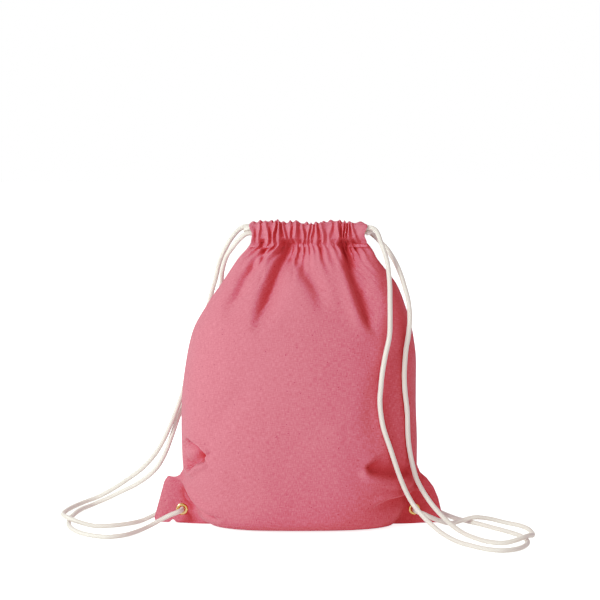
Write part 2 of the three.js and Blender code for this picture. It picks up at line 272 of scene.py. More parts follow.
def new_material(name):
    material = bpy.data.materials.new(name)
    material.use_nodes = True
    return material, material.node_tree, material.node_tree.nodes["Principled BSDF"]


def feed(tree, socket, value):
    """Links a socket to another one, or sets its value."""
    if isinstance(value, bpy.types.NodeSocket):
        tree.links.new(value, socket)
    else:
        socket.default_value = value


def node(tree, kind, settings=(), **inputs):
    """A new shader node, with its settings and inputs. An underscore stands for a space."""
    made = tree.nodes.new("ShaderNode" + kind)
    for key, value in dict(settings).items():
        setattr(made, key, value)
    for key, value in inputs.items():
        feed(tree, made.inputs[key.replace("_", " ")], value)
    return made


def math_node(tree, operation, a, b=0.0, c=0.0):
    made = node(tree, "Math", {"operation": operation})
    for socket, value in zip(made.inputs, (a, b, c)):
        feed(tree, socket, value)
    return made.outputs[0]


def times(tree, a, b):
    return math_node(tree, "MULTIPLY", a, b)


def mix_colours(tree, factor, a, b):
    made = node(tree, "Mix", {"data_type": "RGBA"})
    for name, value in (("Factor_Float", factor), ("A_Color", a), ("B_Color", b)):
        feed(tree, next(s for s in made.inputs if s.identifier == name), value)
    return next(s for s in made.outputs if s.identifier == "Result_Color")


def stretched(tree, vector, scale):
    return node(tree, "Mapping", Vector=vector, Scale=scale).outputs[0]


def noise(tree, vector, scale, detail):
    made = node(tree, "TexNoise", Vector=vector, Scale=scale, Detail=detail)
    return made.outputs["Fac"]


def remap(tree, value, low, high, first=0.0, last=1.0):
    """A value that goes from low to high, as one that goes from first to last."""
    ends = {"From_Min": low, "From_Max": high, "To_Min": first, "To_Max": last}
    return node(tree, "MapRange", Value=value, **ends).outputs[0]


def thread_wave(tree, coordinate):
    """The round backs of threads side by side, one to each unit of the coordinate."""
    wave = math_node(tree, "SINE", times(tree, coordinate, math.pi))
    return math_node(tree, "ABSOLUTE", wave)


def set_values(shader, **values):
    for key, value in values.items():
        shader.inputs[key.replace("_", " ")].default_value = value


def dress(tree, shader, colour, relief, strength, distance, **values):
    """Gives a shader its colour, its fine relief and its uniform values."""
    tree.links.new(colour, shader.inputs["Base Color"])
    bump = node(tree, "Bump", Height=relief, Strength=strength, Distance=distance)
    tree.links.new(bump.outputs[0], shader.inputs["Normal"])
    set_values(shader, **values)


def canvas_material():
    """Plain-woven cotton: warp and weft in relief, slubs, heathered colour, a few dark specks, with
    painted shade between the threads and in folds and hollows.
    """
    material, tree, shader = new_material("canvas")
    uv = node(tree, "UVMap").outputs["UV"]
    threads = stretched(tree, uv, (1 / THREAD_PITCH,) * 3)
    split = node(tree, "SeparateXYZ", Vector=threads)
    checker = node(tree, "TexChecker", Vector=threads, Scale=1.0).outputs["Fac"]
    unchecked = math_node(tree, "SUBTRACT", 1.0, checker)
    over = times(tree, thread_wave(tree, split.outputs[0]), checker)
    under = times(tree, thread_wave(tree, split.outputs[1]), unchecked)
    weave = math_node(tree, "ADD", over, under)

    warp_slub = noise(tree, stretched(tree, uv, (1150, 160, 1)), 1.0, 2.0)
    weft_slub = noise(tree, stretched(tree, uv, (160, 1150, 1)), 1.0, 2.0)
    heather = times(tree, warp_slub, weft_slub)
    base = mix_colours(tree, remap(tree, heather, 0.12, 0.4), CANVAS_DARK, CANVAS_PINK)
    cloud = times(tree, noise(tree, uv, 9.0, 3.0), 0.22)
    faded = mix_colours(tree, cloud, base, CANVAS_FADED)
    # painted shade: the gaps between the threads are painted darker
    woven = mix_colours(tree, remap(tree, weave, 0.0, 0.7, 0.30, 0.0), faded, CANVAS_GAP_SHADE)

    speck_map = stretched(tree, uv, (105, 105, 1))
    specks = node(tree, "TexVoronoi", Vector=speck_map, Scale=1.0).outputs["Distance"]
    dots = remap(tree, specks, 0.045, 0.085, 0.75, 0.0)
    speckled = mix_colours(tree, dots, woven, CANVAS_SPECK)
    # painted shade: the canvas is painted deep red where the cloth around it closes in, in folds and
    # hollows
    own_cloth = {"samples": 8, "only_local": True}
    openness = node(tree, "AmbientOcclusion", own_cloth, Distance=PAINTED_SHADE_REACH)
    painted_shade = remap(tree, openness.outputs["AO"], 0.15, 0.75, 0.6, 0.0)
    with_painted_shade = mix_colours(tree, painted_shade, speckled, CANVAS_PAINTED_SHADE)

    relief = math_node(tree, "MULTIPLY_ADD", heather, 0.8, weave)
    dress(
        tree, shader, with_painted_shade, relief, 0.35, 0.00035,
        Roughness=0.92, Specular_IOR_Level=0.25, Sheen_Weight=0.12, Sheen_Roughness=0.5,
    )
    return material


def thread_material():
    material, tree, shader = new_material("thread")
    position = node(tree, "TexCoord").outputs["Object"]
    wave = node(tree, "TexWave", Vector=position, Scale=900.0, Distortion=2.0)
    twist = wave.outputs["Fac"]
    # painted shade: the grooves of the twist are painted darker
    colour = mix_colours(tree, twist, SEWING_TWIST_SHADE, SEWING_PINK)
    dress(tree, shader, colour, twist, 0.4, 0.0001, Roughness=0.75)
    return material


def cord_material():
    """Braided natural cotton: diamonds of yarn, with painted shade in the grooves between them."""
    material, tree, shader = new_material("cord")
    uv = node(tree, "UVMap").outputs["UV"]
    split = node(tree, "SeparateXYZ", Vector=uv)
    around = times(tree, split.outputs[0], BRAID_STARTS * math.pi)
    along = times(tree, split.outputs[1], BRAID_STARTS * math.pi / BRAID_PITCH)
    windings = []
    for direction in ("ADD", "SUBTRACT"):
        wave = math_node(tree, "COSINE", math_node(tree, direction, around, along))
        windings.append(math_node(tree, "ABSOLUTE", wave))
    plait = times(tree, windings[0], windings[1])
    fibres = noise(tree, stretched(tree, uv, (30, 3000, 1)), 1.0, 3.0)
    # painted shade: the grooves between the diamonds are painted grey
    groove_shade = remap(tree, plait, 0.0, 0.4, 0.7, 0.0)
    colour = mix_colours(tree, groove_shade, COTTON, COTTON_GROOVE_SHADE)
    tinted = mix_colours(tree, times(tree, fibres, 0.25), colour, COTTON_PALE)
    relief = math_node(tree, "MULTIPLY_ADD", fibres, 0.5, plait)
    dress(
        tree, shader, tinted, relief, 0.5, 0.0003,
        Roughness=0.9, Specular_IOR_Level=0.2, Sheen_Weight=0.1,
    )
    return material


def brass_material():
    material, tree, shader = new_material("brass")
    position = node(tree, "TexCoord").outputs["Object"]
    clouds = noise(tree, position, 180.0, 4.0)
    scratches = noise(tree, position, 2600.0, 2.0)
    colour = mix_colours(tree, clouds, BRASS_DARK, BRASS_BRIGHT)
    dress(tree, shader, colour, scratches, 0.06, 0.0001, Metallic=1.0)
    tree.links.new(remap(tree, clouds, 0.0, 1.0, 0.18, 0.34), shader.inputs["Roughness"])
    return material


CANVAS = canvas_material()
THREAD = thread_material()
CORD = cord_material()
BRASS = brass_material()

# ------------ floor and light

WHITE = (1, 1, 1, 1)
FLOOR_REACH = 9.0
FLOOR_DROP = 0.0004
FLOOR_COLOUR = (0.86, 0.86, 0.86, 1)
FLOOR_GLOW = 0.19  # light the floor gives the bag
FLOOR_SEEN_GLOW = 0.6  # and how much brighter it looks from the camera
WORLD_LIGHT = 0.43
LAMP_TARGET = Vector((0, 0, 0.18))
# Name, place, diameter and power.
LAMPS = (
    ("key", (-2.15, -1.95, 1.7), 1.2, 71),
    ("fill", (1.9, -2.4, 1.0), 1.8, 3),
    ("back", (-0.5, 2.9, 1.7), 1.6, 30),
)

# The print's tone, in scene-linear light: reds hold up in the shade while greens and
# blues fall away, so pink cloth shades to deep red. Near white all three are the same.
RED_TONE = [(0.15, 0.215), (0.3, 0.40), (0.45, 0.545), (0.62, 0.68), (0.8, 0.825)]
GREEN_TONE = [
    (0.05, 0.018), (0.1, 0.05), (0.15, 0.12), (0.2, 0.215), (0.3, 0.335), (0.5, 0.525), (0.75, 0.76),
]
BLUE_TONE = [
    (0.05, 0.018), (0.1, 0.049), (0.15, 0.118), (0.2, 0.226), (0.3, 0.36), (0.5, 0.53), (0.75, 0.76),
]


def grade():
    settings = bpy.context.scene.view_settings
    settings.view_transform = "Standard"
    settings.use_curve_mapping = True
    mapping = settings.curve_mapping
    for curve, tone in zip(mapping.curves, (RED_TONE, GREEN_TONE, BLUE_TONE)):
        for light, printed in tone:
            curve.points.new(light, printed)
    mapping.update()


def make_floor():
    mesh = bpy.data.meshes.new("floor")
    corners = FLOOR_REACH * np.array([(-1, -1, 0), (1, -1, 0), (1, 1, 0), (-1, 1, 0)])
    mesh.from_pydata(corners.tolist(), [], [(0, 1, 2, 3)])
    floor = bpy.data.objects.new("floor", mesh)
    floor.location.z = -FLOOR_DROP
    bpy.context.scene.collection.objects.link(floor)
    material, tree, shader = new_material("floor")
    set_values(shader, Base_Color=FLOOR_COLOUR, Roughness=0.9, Specular_IOR_Level=0.1)
    set_values(shader, Emission_Color=WHITE)
    seen = node(tree, "LightPath").outputs["Is Camera Ray"]
    glow = math_node(tree, "MULTIPLY_ADD", seen, FLOOR_SEEN_GLOW, FLOOR_GLOW)
    tree.links.new(glow, shader.inputs["Emission Strength"])
    mesh.materials.append(material)


def make_world():
    """White as the camera sees it, and dimmer as a light."""
    world = bpy.data.worlds.new("studio")
    bpy.context.scene.world = world
    world.use_nodes = True
    tree = world.node_tree
    light = tree.nodes["Background"]
    set_values(light, Color=WHITE, Strength=WORLD_LIGHT)
    backdrop = node(tree, "Background", Color=WHITE, Strength=1.0)
    path = node(tree, "LightPath")
    choose = node(tree, "MixShader")
    tree.links.new(path.outputs["Is Camera Ray"], choose.inputs[0])
    tree.links.new(light.outputs[0], choose.inputs[1])
    tree.links.new(backdrop.outputs[0], choose.inputs[2])
    tree.links.new(choose.outputs[0], tree.nodes["World Output"].inputs["Surface"])


def make_lamps():
    for name, place, diameter, power in LAMPS:
        data = bpy.data.lights.new(name, "AREA")
        data.shape = "DISK"
        data.size = diameter
        data.energy = power
        lamp = bpy.data.objects.new(name, data)
        lamp.location = place
        toward = LAMP_TARGET - lamp.location
        lamp.rotation_euler = toward.to_track_quat("-Z", "Y").to_euler()
        bpy.context.scene.collection.objects.link(lamp)


make_camera()
make_floor()
make_world()
make_lamps()
grade()

# ------------ cords

# The routes of the free strands, mm, from the mouth to the knot or the eyelet.
LEFT_REAR = [
    (-63, 9.5, 391.5), (-69, 10.6, 392.4), (-78.5, 11.2, 387.5), (-88, 12, 376.5), (-96, 15, 363),
    (-104, 21, 345), (-109, 27, 324), (-115, 31, 303), (-124, 33, 270), (-135, 34, 233),
    (-146, 30, 196), (-158, 25, 159), (-168, 27, 133), (-181, 36, 104), (-194, 50, 82),
    (-213, 71, 59), (-233, 92, 41), (-257, 112, 22), (-279, 120, 9), (-298, 108, 4),
    (-311, 79, 3.2), (-316, 43, 4.5), (-312, 14, 8.5), (-304, -6, 10), (-289, -19, 7.5),
    (-267, -25, 3.4), (-246, -23, 3.2), (-223, -11, 3.2), (-207, 3, 4), (-195, 10, 8),
    (-184, 13, 13), (-175, 13.3, 16.5), (-164.3, 13.3, 18),
]
LEFT_FRONT = [
    (-63, -9.5, 384.9), (-68, -9.8, 384), (-77, -9, 377), (-86, -4.5, 366), (-94, 3, 354),
    (-100, 12, 334), (-102, 23, 314), (-106, 33, 293), (-114, 42, 262), (-125, 46, 228),
    (-138, 42, 194), (-150, 36, 164), (-160, 33, 138), (-169, 34, 112), (-178, 39, 88),
    (-190, 49, 66), (-207, 63, 48), (-224, 76, 35), (-244, 89, 23), (-264, 97, 12), (-282, 93, 5),
    (-295, 74, 3.2), (-302, 40, 3.2), (-304, 5, 3.2), (-297, -34, 3.2), (-280, -63, 3.2),
    (-260, -79, 3.2), (-242, -84, 3.2), (-224, -75, 3.2), (-208, -53, 3.2), (-194, -34, 5.5),
    (-180, -25, 11.5), (-168, -22, 17), (-158, -17, 20), (-154, -8, 20.5), (-154, 5, 20.5),
]
RIGHT_REAR = [
    (87, -9.5, 391.5), (92, -10.4, 392), (98, -13.8, 389.5), (102, -19.5, 383), (105, -25, 374),
    (109, -30, 363), (113, -34, 349), (115, -37, 334), (116, -40, 318), (116, -45, 302),
    (116, -51, 280), (115, -57, 257), (110, -61, 234), (106, -63, 211), (104, -64, 191),
    (103, -64, 173), (107, -63, 143), (117, -59, 112), (129, -53, 76), (138, -49, 54),
    (147, -50, 38), (156, -60, 28), (167, -75, 19), (181, -92, 10), (198, -110, 4),
    (216, -131, 3.2), (234, -148, 3.2), (252, -154, 3.2), (270, -146, 3.2), (283, -128, 3.2),
    (288, -106, 3.2), (283, -80, 3.2), (270, -58, 3.2), (254, -37, 3.2), (238, -16, 3.2),
    (224, 0, 3.2), (210, 9, 4.5), (196, 12.5, 9), (184, 13.3, 14), (174, 13.3, 17),
    (161.8, 13.3, 18),
]
RIGHT_FRONT = [
    (87, 9.5, 384.9), (92, 9.2, 384), (99, 6.5, 379), (106, 0.5, 372), (113, -6, 365),
    (120, -14, 355), (126, -21, 344), (131, -26, 332), (136, -30, 316), (140, -32, 301),
    (142, -34, 285), (142, -35, 271), (140, -37, 254), (137, -40, 236), (135, -43, 208),
    (136, -43, 184), (139, -41, 159), (141, -40, 118), (146, -36, 90), (153, -31, 66),
    (162, -31, 49), (172, -36, 35), (183, -42, 23), (195, -49, 12), (208, -62, 4.5),
    (220, -84, 3.2), (237, -108, 3.2), (256, -119, 4), (274, -117, 7.5), (287, -107, 10),
    (296, -89, 6.5), (299, -66, 3.2), (297, -42, 3.2), (288, -22, 3.2), (271, -9, 4), (250, -4, 8),
    (231, -5, 10), (213, -9, 6.5), (198, -15, 4.5), (184, -21, 9), (172, -24, 14.5), (161, -22, 19),
    (154, -16, 20.5), (151.5, -8, 20.5), (151.5, 5, 20.5),
]

BRAID_RELIEF = 0.0003
BRAID_SIDES = 20
BRAID_STEP = 0.0009
ANY_DIRECTION = (0.1, 0.2, 1.0)  # except along a cord's start


def braided_tube(name, centres, radius=CORD_RADIUS):
    """A closed tube whose surface rises and falls in the diamonds of a braid."""
    tangents = unit(np.gradient(centres, axis=0))
    side = np.cross(tangents[0], ANY_DIRECTION)
    sides = []
    for tangent in tangents:
        side = unit(side - tangent * np.dot(side, tangent))
        sides.append(side)
    sides = np.array(sides)
    ups = np.cross(tangents, sides)
    turn = np.arange(BRAID_SIDES + 1) / BRAID_SIDES
    s, t = np.meshgrid(lengths_along(centres), turn, indexing="ij")
    phase = BRAID_STARTS * math.pi
    plait = np.abs(np.cos(phase * (t + s / BRAID_PITCH)) * np.cos(phase * (t - s / BRAID_PITCH)))
    reach = (radius - BRAID_RELIEF + 2 * BRAID_RELIEF * plait)[..., None]
    angle = 2 * math.pi * t[..., None]
    around = np.cos(angle) * sides[:, None, :] + np.sin(angle) * ups[:, None, :]
    rings = (centres[:, None, :] + reach * around)[:, :BRAID_SIDES].reshape(-1, 3)
    vertices = np.vstack([rings, centres[:1], centres[-1:]])
    index = np.arange(len(rings)).reshape(-1, BRAID_SIDES)
    index = np.hstack([index, index[:, :1]])
    faces = grid_quads(index)[:, ::-1].tolist()
    for k in range(BRAID_SIDES):
        faces.append([index[0, k], index[0, k + 1], len(rings)])
        faces.append([index[-1, k + 1], index[-1, k], len(rings) + 1])
    flat = np.stack([t, s], axis=2).reshape(-1, 2)
    corners = grid_quads(np.arange(len(flat)).reshape(t.shape))[:, ::-1].ravel()
    corner_uv = np.vstack([flat[corners], np.zeros((6 * BRAID_SIDES, 2))])
    piece = mesh_object(name, vertices, faces, CORD, corner_uv)
    return piece


def channel_offset(x):
    """How far from the seam plane the cords lie in the channels at x."""
    s = (x - CHANNEL_MIDDLE) / CHANNEL_HALF
    return RUN_OFFSET + MOUTH_BOW * max(0.0, 1 - s * s)


KNOT_TUBE = 0.0027
KNOT_SCALE = 0.0021
KNOT_DEPTH = 0.0032
KNOT_RINGS = 240
# The cut tail, from the knot's middle: how far outward, back and up it is, mm.
KNOT_TAIL = [(0, 2, -2), (2, 7, -6), (4, 12, -11), (8, 18, -14.7), (13, 23, -14.8)]


def tie_knot(side, x, lean):
    """An overhand knot pulled tight behind its eyelet, with a short cut tail."""
    t = np.linspace(0, 2 * math.pi, KNOT_RINGS)
    across = np.sin(t) + 2 * np.sin(2 * t)
    up = np.cos(t) - 2 * np.cos(2 * t)
    through = -np.sin(3 * t)
    ring = np.stack([
        x + KNOT_SCALE * (across * math.cos(lean) - up * math.sin(lean)),
        KNOT_Y + KNOT_DEPTH * through,
        KNOT_Z + KNOT_SCALE * (across * math.sin(lean) + up * math.cos(lean)),
    ], axis=1)
    knot = braided_tube(f"{side}_knot_tied", ring, KNOT_TUBE)
    outward = -1 if x < 0 else 1
    start = np.array([x, KNOT_Y, KNOT_Z])
    tail_points = start + MM * np.array(KNOT_TAIL) * (outward, 1, 1)
    tail = braided_tube(f"{side}_knot_tail", catmull_rom(tail_points, BRAID_STEP), KNOT_TUBE)
    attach(knot, "bag")
    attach(tail, "bag")
    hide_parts(f"{side}_knot")
    return [knot, tail]


STRAND_ROOT = 0.005  # of each strand, inside the mouth of its channel


def make_cords():
    knots = {}
    for side, x, lean in (("left", LEFT_KNOT_X, 0.4), ("right", RIGHT_KNOT_X, 2.4)):
        knots[side] = tie_knot(side, x, lean)
    strands = (
        ("left_cord_rear_strand", LEFT_REAR, 0.791, "knot", knots["left"]),
        ("left_cord_front_strand", LEFT_FRONT, 0.839, "object", []),
        ("right_cord_rear_strand", RIGHT_REAR, 0.804, "knot", knots["right"]),
        ("right_cord_front_strand", RIGHT_FRONT, 0.818, "object", []),
    )
    for name, route_mm, length, far_end, pieces in strands:
        route = [tuple(round(value * MM, 6) for value in point) for point in route_mm]
        x, y, z = route[0]
        inside = (x + STRAND_ROOT if x < 0 else x - STRAND_ROOT, y, z)
        path = catmull_rom([inside] + route, BRAID_STEP)
        strand = braided_tube(name + "_braided", path)
        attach(strand, "bag")
        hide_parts(name)


RUN_RINGS = 70
TURN_RINGS = 40


def make_runs():
    """The cords inside the channels, in halves, and their turns."""
    runs = (
        ("left_cord_front_run", FRONT, LOWER_RUN),
        ("left_cord_back_run", BACK, UPPER_RUN),
        ("right_cord_front_run", FRONT, UPPER_RUN),
        ("right_cord_back_run", BACK, LOWER_RUN),
    )
    halves = (
        ("left_half", CHANNEL_LEFT + RUN_GAP, CHANNEL_MIDDLE),
        ("right_half", CHANNEL_MIDDLE, CHANNEL_RIGHT - RUN_GAP),
    )
    for name, side, height in runs:
        for half, start, end in halves:
            x = np.linspace(start, end, RUN_RINGS)
            y = np.array([side * channel_offset(value) for value in x])
            centres = np.stack([x, y, np.full_like(x, height)], axis=1)
            run = braided_tube(f"{name}_{half}", centres)
            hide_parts(name)
            bend_with_mouth(run)
    turns = (
        ("left_cord_turn", CHANNEL_RIGHT + RUN_GAP, 1, LOWER_RUN, UPPER_RUN),
        ("right_cord_turn", CHANNEL_LEFT - RUN_GAP, -1, UPPER_RUN, LOWER_RUN),
    )
    for name, x, direction, front_height, back_height in turns:
        angle = np.linspace(-0.5, 0.5, TURN_RINGS) * math.pi
        share = smoothstep(np.linspace(0, 1, TURN_RINGS))
        centres = np.stack([
            x + direction * TURN_REACH * np.cos(angle),
            RUN_OFFSET * np.sin(angle),
            front_height + (back_height - front_height) * share,
        ], axis=1)
        turn = braided_tube(name + "_braided", centres)
        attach(turn, "bag")
        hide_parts(name)


# ------------ baked transforms


def bend_with_mouth(piece):
    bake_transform(piece)


# ------------ shape of the bag

# Height, left edge, right edge, half depth, seam opening and fullness of the section, in
# millimetres. A fullness of 1 is an ellipse, and a larger one is flatter at the seams.
BODY = np.array([
    (0, -114, 123, 46, 0, 1.0),
    (5, -124, 128, 57, 0, 1.0),
    (12, -131, 133, 63, 0, 1.0),
    (25, -139, 139, 68, 0, 1.0),
    (50, -147, 148, 73, 0, 1.0),
    (86, -153, 155, 76, 0, 1.0),
    (128, -154, 154, 77, 0, 1.0),
    (171, -153, 153, 76, 0, 1.0),
    (213, -148, 153, 73, 0, 1.0),
    (255, -139, 148, 66, 0, 1.0),
    (297, -116, 136, 52, 0, 1.0),
    (318, -101, 127, 43, 0, 1.0),
    (339, -87, 111, 31, 0, 0.9),
    (352, -78, 101, 22, 0, 0.8),
    (360, -71, 97, 17, 0.5, 0.9),
    (366, -66, 93, 14, 4, 1.3),
    (371, -62.5, 88, 13.1, 10.1, 2.0),
], float)

# The outline of each flat bottom corner, from where the side seam leaves the hull.
LEFT_EAR = [
    (-152, 74), (-157, 66), (-163, 63), (-172, 65), (-177, 58), (-183, 36), (-190.5, 9), (-189, 2.5),
]
RIGHT_EAR = [
    (155, 80), (159, 70), (168, 62), (177, 50), (183, 36), (187, 20), (190.5, 8), (188.5, 2),
]
EAR_THICKNESS = 1.7  # half thickness, mm
EAR_EASE = 4  # mm from its edge to its full thickness
EAR_COLUMNS = 40
SEAM_GAP = 0.15  # from the seam plane to each panel at a seam, mm
LOWEST = 0.25  # the cloth comes no nearer the floor, mm
NOTCH_X = -166  # a pucker in the bottom edge of the left corner, mm
NOTCH_RISE = 6
NOTCH_WIDTH = 3
NOTCH_HEIGHT = 7

SECTION_POWER = 2.6  # 2 is an ellipse, and more is flatter in the middle
SECTION_SAMPLES = 241
COLUMNS = 257
UNDER_ROWS = 10  # from the bottom seam out to the edge of the base
BODY_STEP = 1.7  # mm
RELAX_ROUNDS = 14
RELAX_TOP = 118  # the grid is evened out below this height, mm
RELAX_EASE = 50  # and fully so this much further down

# Ridges and valleys of the gathered cloth along the channel: x in mm, and how far out.
FRONT_PLEATS = [
    (-66, 0.1), (-59, 0.5), (-53.5, -0.5), (-50, 0.3), (-46.5, -0.8), (-41.5, 0.9), (-37.6, -0.8),
    (-34, 1.0), (-30.6, -0.5), (-27, 1.2), (-22.3, -1.0), (-18.5, 0.6), (-14.5, -0.5), (-10.5, 0.4),
    (-7.4, -0.6), (-4, 1.0), (0.2, -0.9), (3.9, 0.5), (7, -0.8), (10.3, 0.4), (13, -0.6),
    (15.6, 0.4), (19, -0.6), (22.9, 0.6), (27, -0.8), (31, 1.0), (36.5, -0.3), (40, 0.2),
    (44, -0.7), (49, 1.1), (52.6, -1.0), (55.6, 0.6), (57.8, -0.7), (60, 0.5), (62.3, -0.7),
    (64.8, 0.5), (67.5, -0.8), (71, 0.5), (74.5, -0.3), (80, 0.4), (90, 0.1),
]
BACK_PLEATS = [
    (-66, 0.1), (-57, 0.5), (-52, -0.7), (-47, 0.8), (-43, -0.6), (-38.5, 0.6), (-34, -0.9),
    (-28, 1.0), (-23, -0.6), (-19.5, 0.5), (-15, -0.8), (-9.5, 0.9), (-5, -0.7), (-1.5, 0.5),
    (2, -0.7), (6.5, 0.9), (11, -0.6), (14.5, 0.5), (18.5, -0.9), (24, 1.0), (29.5, -0.7),
    (33, 0.4), (37, -0.8), (42, 0.8), (46, -0.6), (50, 0.7), (54.5, -0.9), (60, 0.9),
    (64.5, -0.6), (69, 0.6), (73, -0.6), (78, 0.5), (83, -0.2), (90, 0.1),
]
# How far the pleats stand out at each height, mm.
PLEAT_HEIGHTS = (0, 285, 310, 330, 345, 358, 366, 371)
PLEAT_DEPTHS = (0, 0, 0, 0.2, 0.7, 1.7, 2.6, 2.0)

# The top edge of the channel: x and height, mm.
TOP_LINE = [
    (-66, 392), (-62, 394.5), (-57, 398), (-49, 399), (-41, 399.5), (-27, 399.5), (-18, 397),
    (-4, 398.5), (4, 396.5), (15, 396.3), (23, 396.5), (31, 398.5), (49, 399), (59, 398),
    (70, 398), (78, 397.8), (83, 396), (86, 394.5), (92, 392),
]

# Folds: a line on the cloth in (x, z), mm, then how deep it goes, how far it spreads to
# its left and its right, how high the lip on its left stands, and the shares of its
# length over which it starts and fades. Left and right are as in the picture, for a line
# that runs downwards. A ridge has a negative depth.
FRONT_FOLDS = [
    ([(-14, 392), (-18, 361), (-30, 332), (-41, 305), (-50, 281), (-58, 250)],
     12.5, 6.8, 15, 3.0, 0.1, 0.45),
    ([(-14, 371), (-9, 350), (-8, 332), (-17, 308)], 1.3, 5, 2, 0.4, 0.2, 0.5),
    ([(-4, 370), (8, 342), (24, 315), (34, 280)], 7.0, 9, 11, 1.2, 0.2, 0.5),
    ([(19, 379), (23, 352), (32, 330)], -2.4, 5, 5, 0, 0.2, 0.6),
    ([(38, 396), (52, 376), (61, 361), (65, 343), (75, 314), (83, 291), (92, 272), (104, 257)],
     11.5, 5, 16, 3.4, 0.1, 0.25),
    ([(66, 360), (84, 335), (98, 314)], 3.5, 6, 9, 0, 0.2, 0.5),
    ([(74, 326), (92, 306), (114, 284)], 3.0, 10, 10, 0, 0.3, 0.5),
    ([(-47, 354), (-67, 333), (-79, 310), (-90, 292), (-97, 268)], 6.5, 5, 9, 1.8, 0.2, 0.5),
    ([(-44, 344), (-49, 326), (-59, 313), (-70, 306), (-84, 302)], 1.6, 6, 2, 0.3, 0.2, 0.5),
    ([(-56, 381), (-47, 370), (-40, 363)], 2.6, 2.5, 3, 1.2, 0.2, 0.3),
    ([(-49, 375), (-45, 362), (-51, 342)], 3.0, 3, 3, 1.2, 0.2, 0.4),
    ([(58, 384), (61, 373), (62, 362)], 2.4, 2.5, 2.5, 0, 0.2, 0.3),
    ([(70, 386), (71, 371), (76, 366), (83, 373)], 2.8, 2.5, 3, 1.0, 0.2, 0.2),
    ([(-121, 98), (-133, 108), (-152, 119)], 15.0, 3.2, 12, 3.0, 0.1, 0.3),
    ([(-149, 75), (-137, 90), (-121, 97)], 14.0, 3.2, 12, 3.6, 0.15, 0.1),
    ([(-98, 14), (-115, 18.5), (-129, 25), (-139, 33), (-149, 46), (-157, 54), (-169, 62)],
     8.0, 3.2, 8, 4.6, 0.3, 0.06),
    ([(86, 94), (95, 84), (108, 78), (122, 73), (136, 71), (152, 69)], 12.5, 4, 16, 3.6, 0.15, 0.1),
    ([(181, 44), (167, 43.5), (147, 41), (123, 40), (108, 38), (96, 32), (86, 24)],
     8.0, 3, 11, 4.0, 0.06, 0.5),
    ([(-60, 205), (-88, 168), (-112, 138), (-124, 112)], 2.2, 16, 14, 0, 0.3, 0.3),
    ([(-96, 92), (-70, 62), (-30, 44)], 2.0, 14, 12, 0, 0.3, 0.4),
    ([(112, 236), (100, 190), (96, 150), (104, 112)], 2.4, 14, 12, 0, 0.3, 0.3),
]
BACK_FOLDS = [
    ([(-30, 388), (-34, 360), (-48, 330), (-62, 300), (-70, 270)], 7.0, 12, 4, 0, 0.15, 0.4),
    ([(5, 372), (2, 350), (-8, 325), (-14, 296)], 3.0, 7, 7, 0, 0.2, 0.5),
    ([(32, 376), (40, 350), (45, 322), (44, 288)], 6.0, 4, 12, 2.5, 0.15, 0.4),
    ([(58, 380), (74, 350), (92, 322), (108, 292)], 6.0, 9, 5, 0, 0.15, 0.5),
    ([(-48, 352), (-74, 322), (-96, 290)], 4.0, 8, 8, 0, 0.2, 0.5),
    ([(-104, 12), (-128, 22), (-146, 36), (-158, 50), (-170, 61)], 5.5, 3, 6, 2.5, 0.3, 0.12),
    ([(174, 58), (160, 46), (148, 34), (130, 20), (108, 12)], 5.5, 3, 6, 2.5, 0.12, 0.3),
    ([(-118, 94), (-132, 104), (-151, 116)], 4.5, 3, 9, 1.5, 0.1, 0.3),
    ([(-150, 78), (-136, 88), (-118, 93)], 4.5, 3, 9, 2.5, 0.2, 0.1),
    ([(104, 92), (122, 82), (152, 74)], 6.0, 3, 13, 2.5, 0.2, 0.15),
    ([(-50, 230), (-64, 180), (-60, 120)], 2.4, 16, 14, 0, 0.3, 0.4),
    ([(60, 250), (76, 190), (70, 130)], 2.4, 14, 16, 0, 0.3, 0.4),
]
FOLD_STEP = 2.0  # mm
FOLD_END = 6  # how far a fold reaches past the ends of its line, mm


def fold_relief(x, z, folds):
    """How far out the cloth stands at (x, z), in mm, from all the folds."""
    relief = np.zeros_like(x)
    for line, depth, left, right, lip, fade_in, fade_out in folds:
        samples = catmull_rom(line, FOLD_STEP)
        tangents = unit(np.gradient(samples, axis=0))
        reach = 4 * max(left, right)
        low = samples.min(0) - reach
        high = samples.max(0) + reach
        near = (x > low[0]) & (x < high[0]) & (z > low[1]) & (z < high[1])
        px = x[near]
        pz = z[near]
        gap = (px[:, None] - samples[:, 0]) ** 2 + (pz[:, None] - samples[:, 1]) ** 2
        nearest = gap.argmin(1)
        dx = px - samples[nearest, 0]
        dz = pz - samples[nearest, 1]
        across = -(dx * tangents[nearest, 1] - dz * tangents[nearest, 0])
        beyond = dx * tangents[nearest, 0] + dz * tangents[nearest, 1]
        along = nearest / (len(samples) - 1)
        strength = smoothstep(along / fade_in) * smoothstep((1 - along) / fade_out)
        strength = strength * np.exp(-((beyond / FOLD_END) ** 2))
        width = np.where(across > 0, right, left)
        value = -depth * np.exp(-((across / width) ** 2))
        value = value + lip * np.exp(-(((across + 2.4 * left) / (1.5 * left)) ** 2))
        relief[near] += strength * value
    return relief


def ear_strip(outline, height, edge):
    """Points across a flat corner for the body row at height, from its tip to the hull's edge."""
    outline = np.array(outline, float)
    along = lengths_along(outline)
    share = 1 - height / outline[0, 1]
    tip_x, tip_z = points_at(outline, along, [share * along[-1]])[0]
    share = np.linspace(0, 1, EAR_COLUMNS)[:-1]
    thickening = smoothstep(share * abs(edge - tip_x) / EAR_EASE)
    return np.stack([
        tip_x + (edge - tip_x) * share,
        SEAM_GAP + (EAR_THICKNESS - SEAM_GAP) * thickening,
        tip_z + (height - tip_z) * smoothstep(share),
    ], 1)


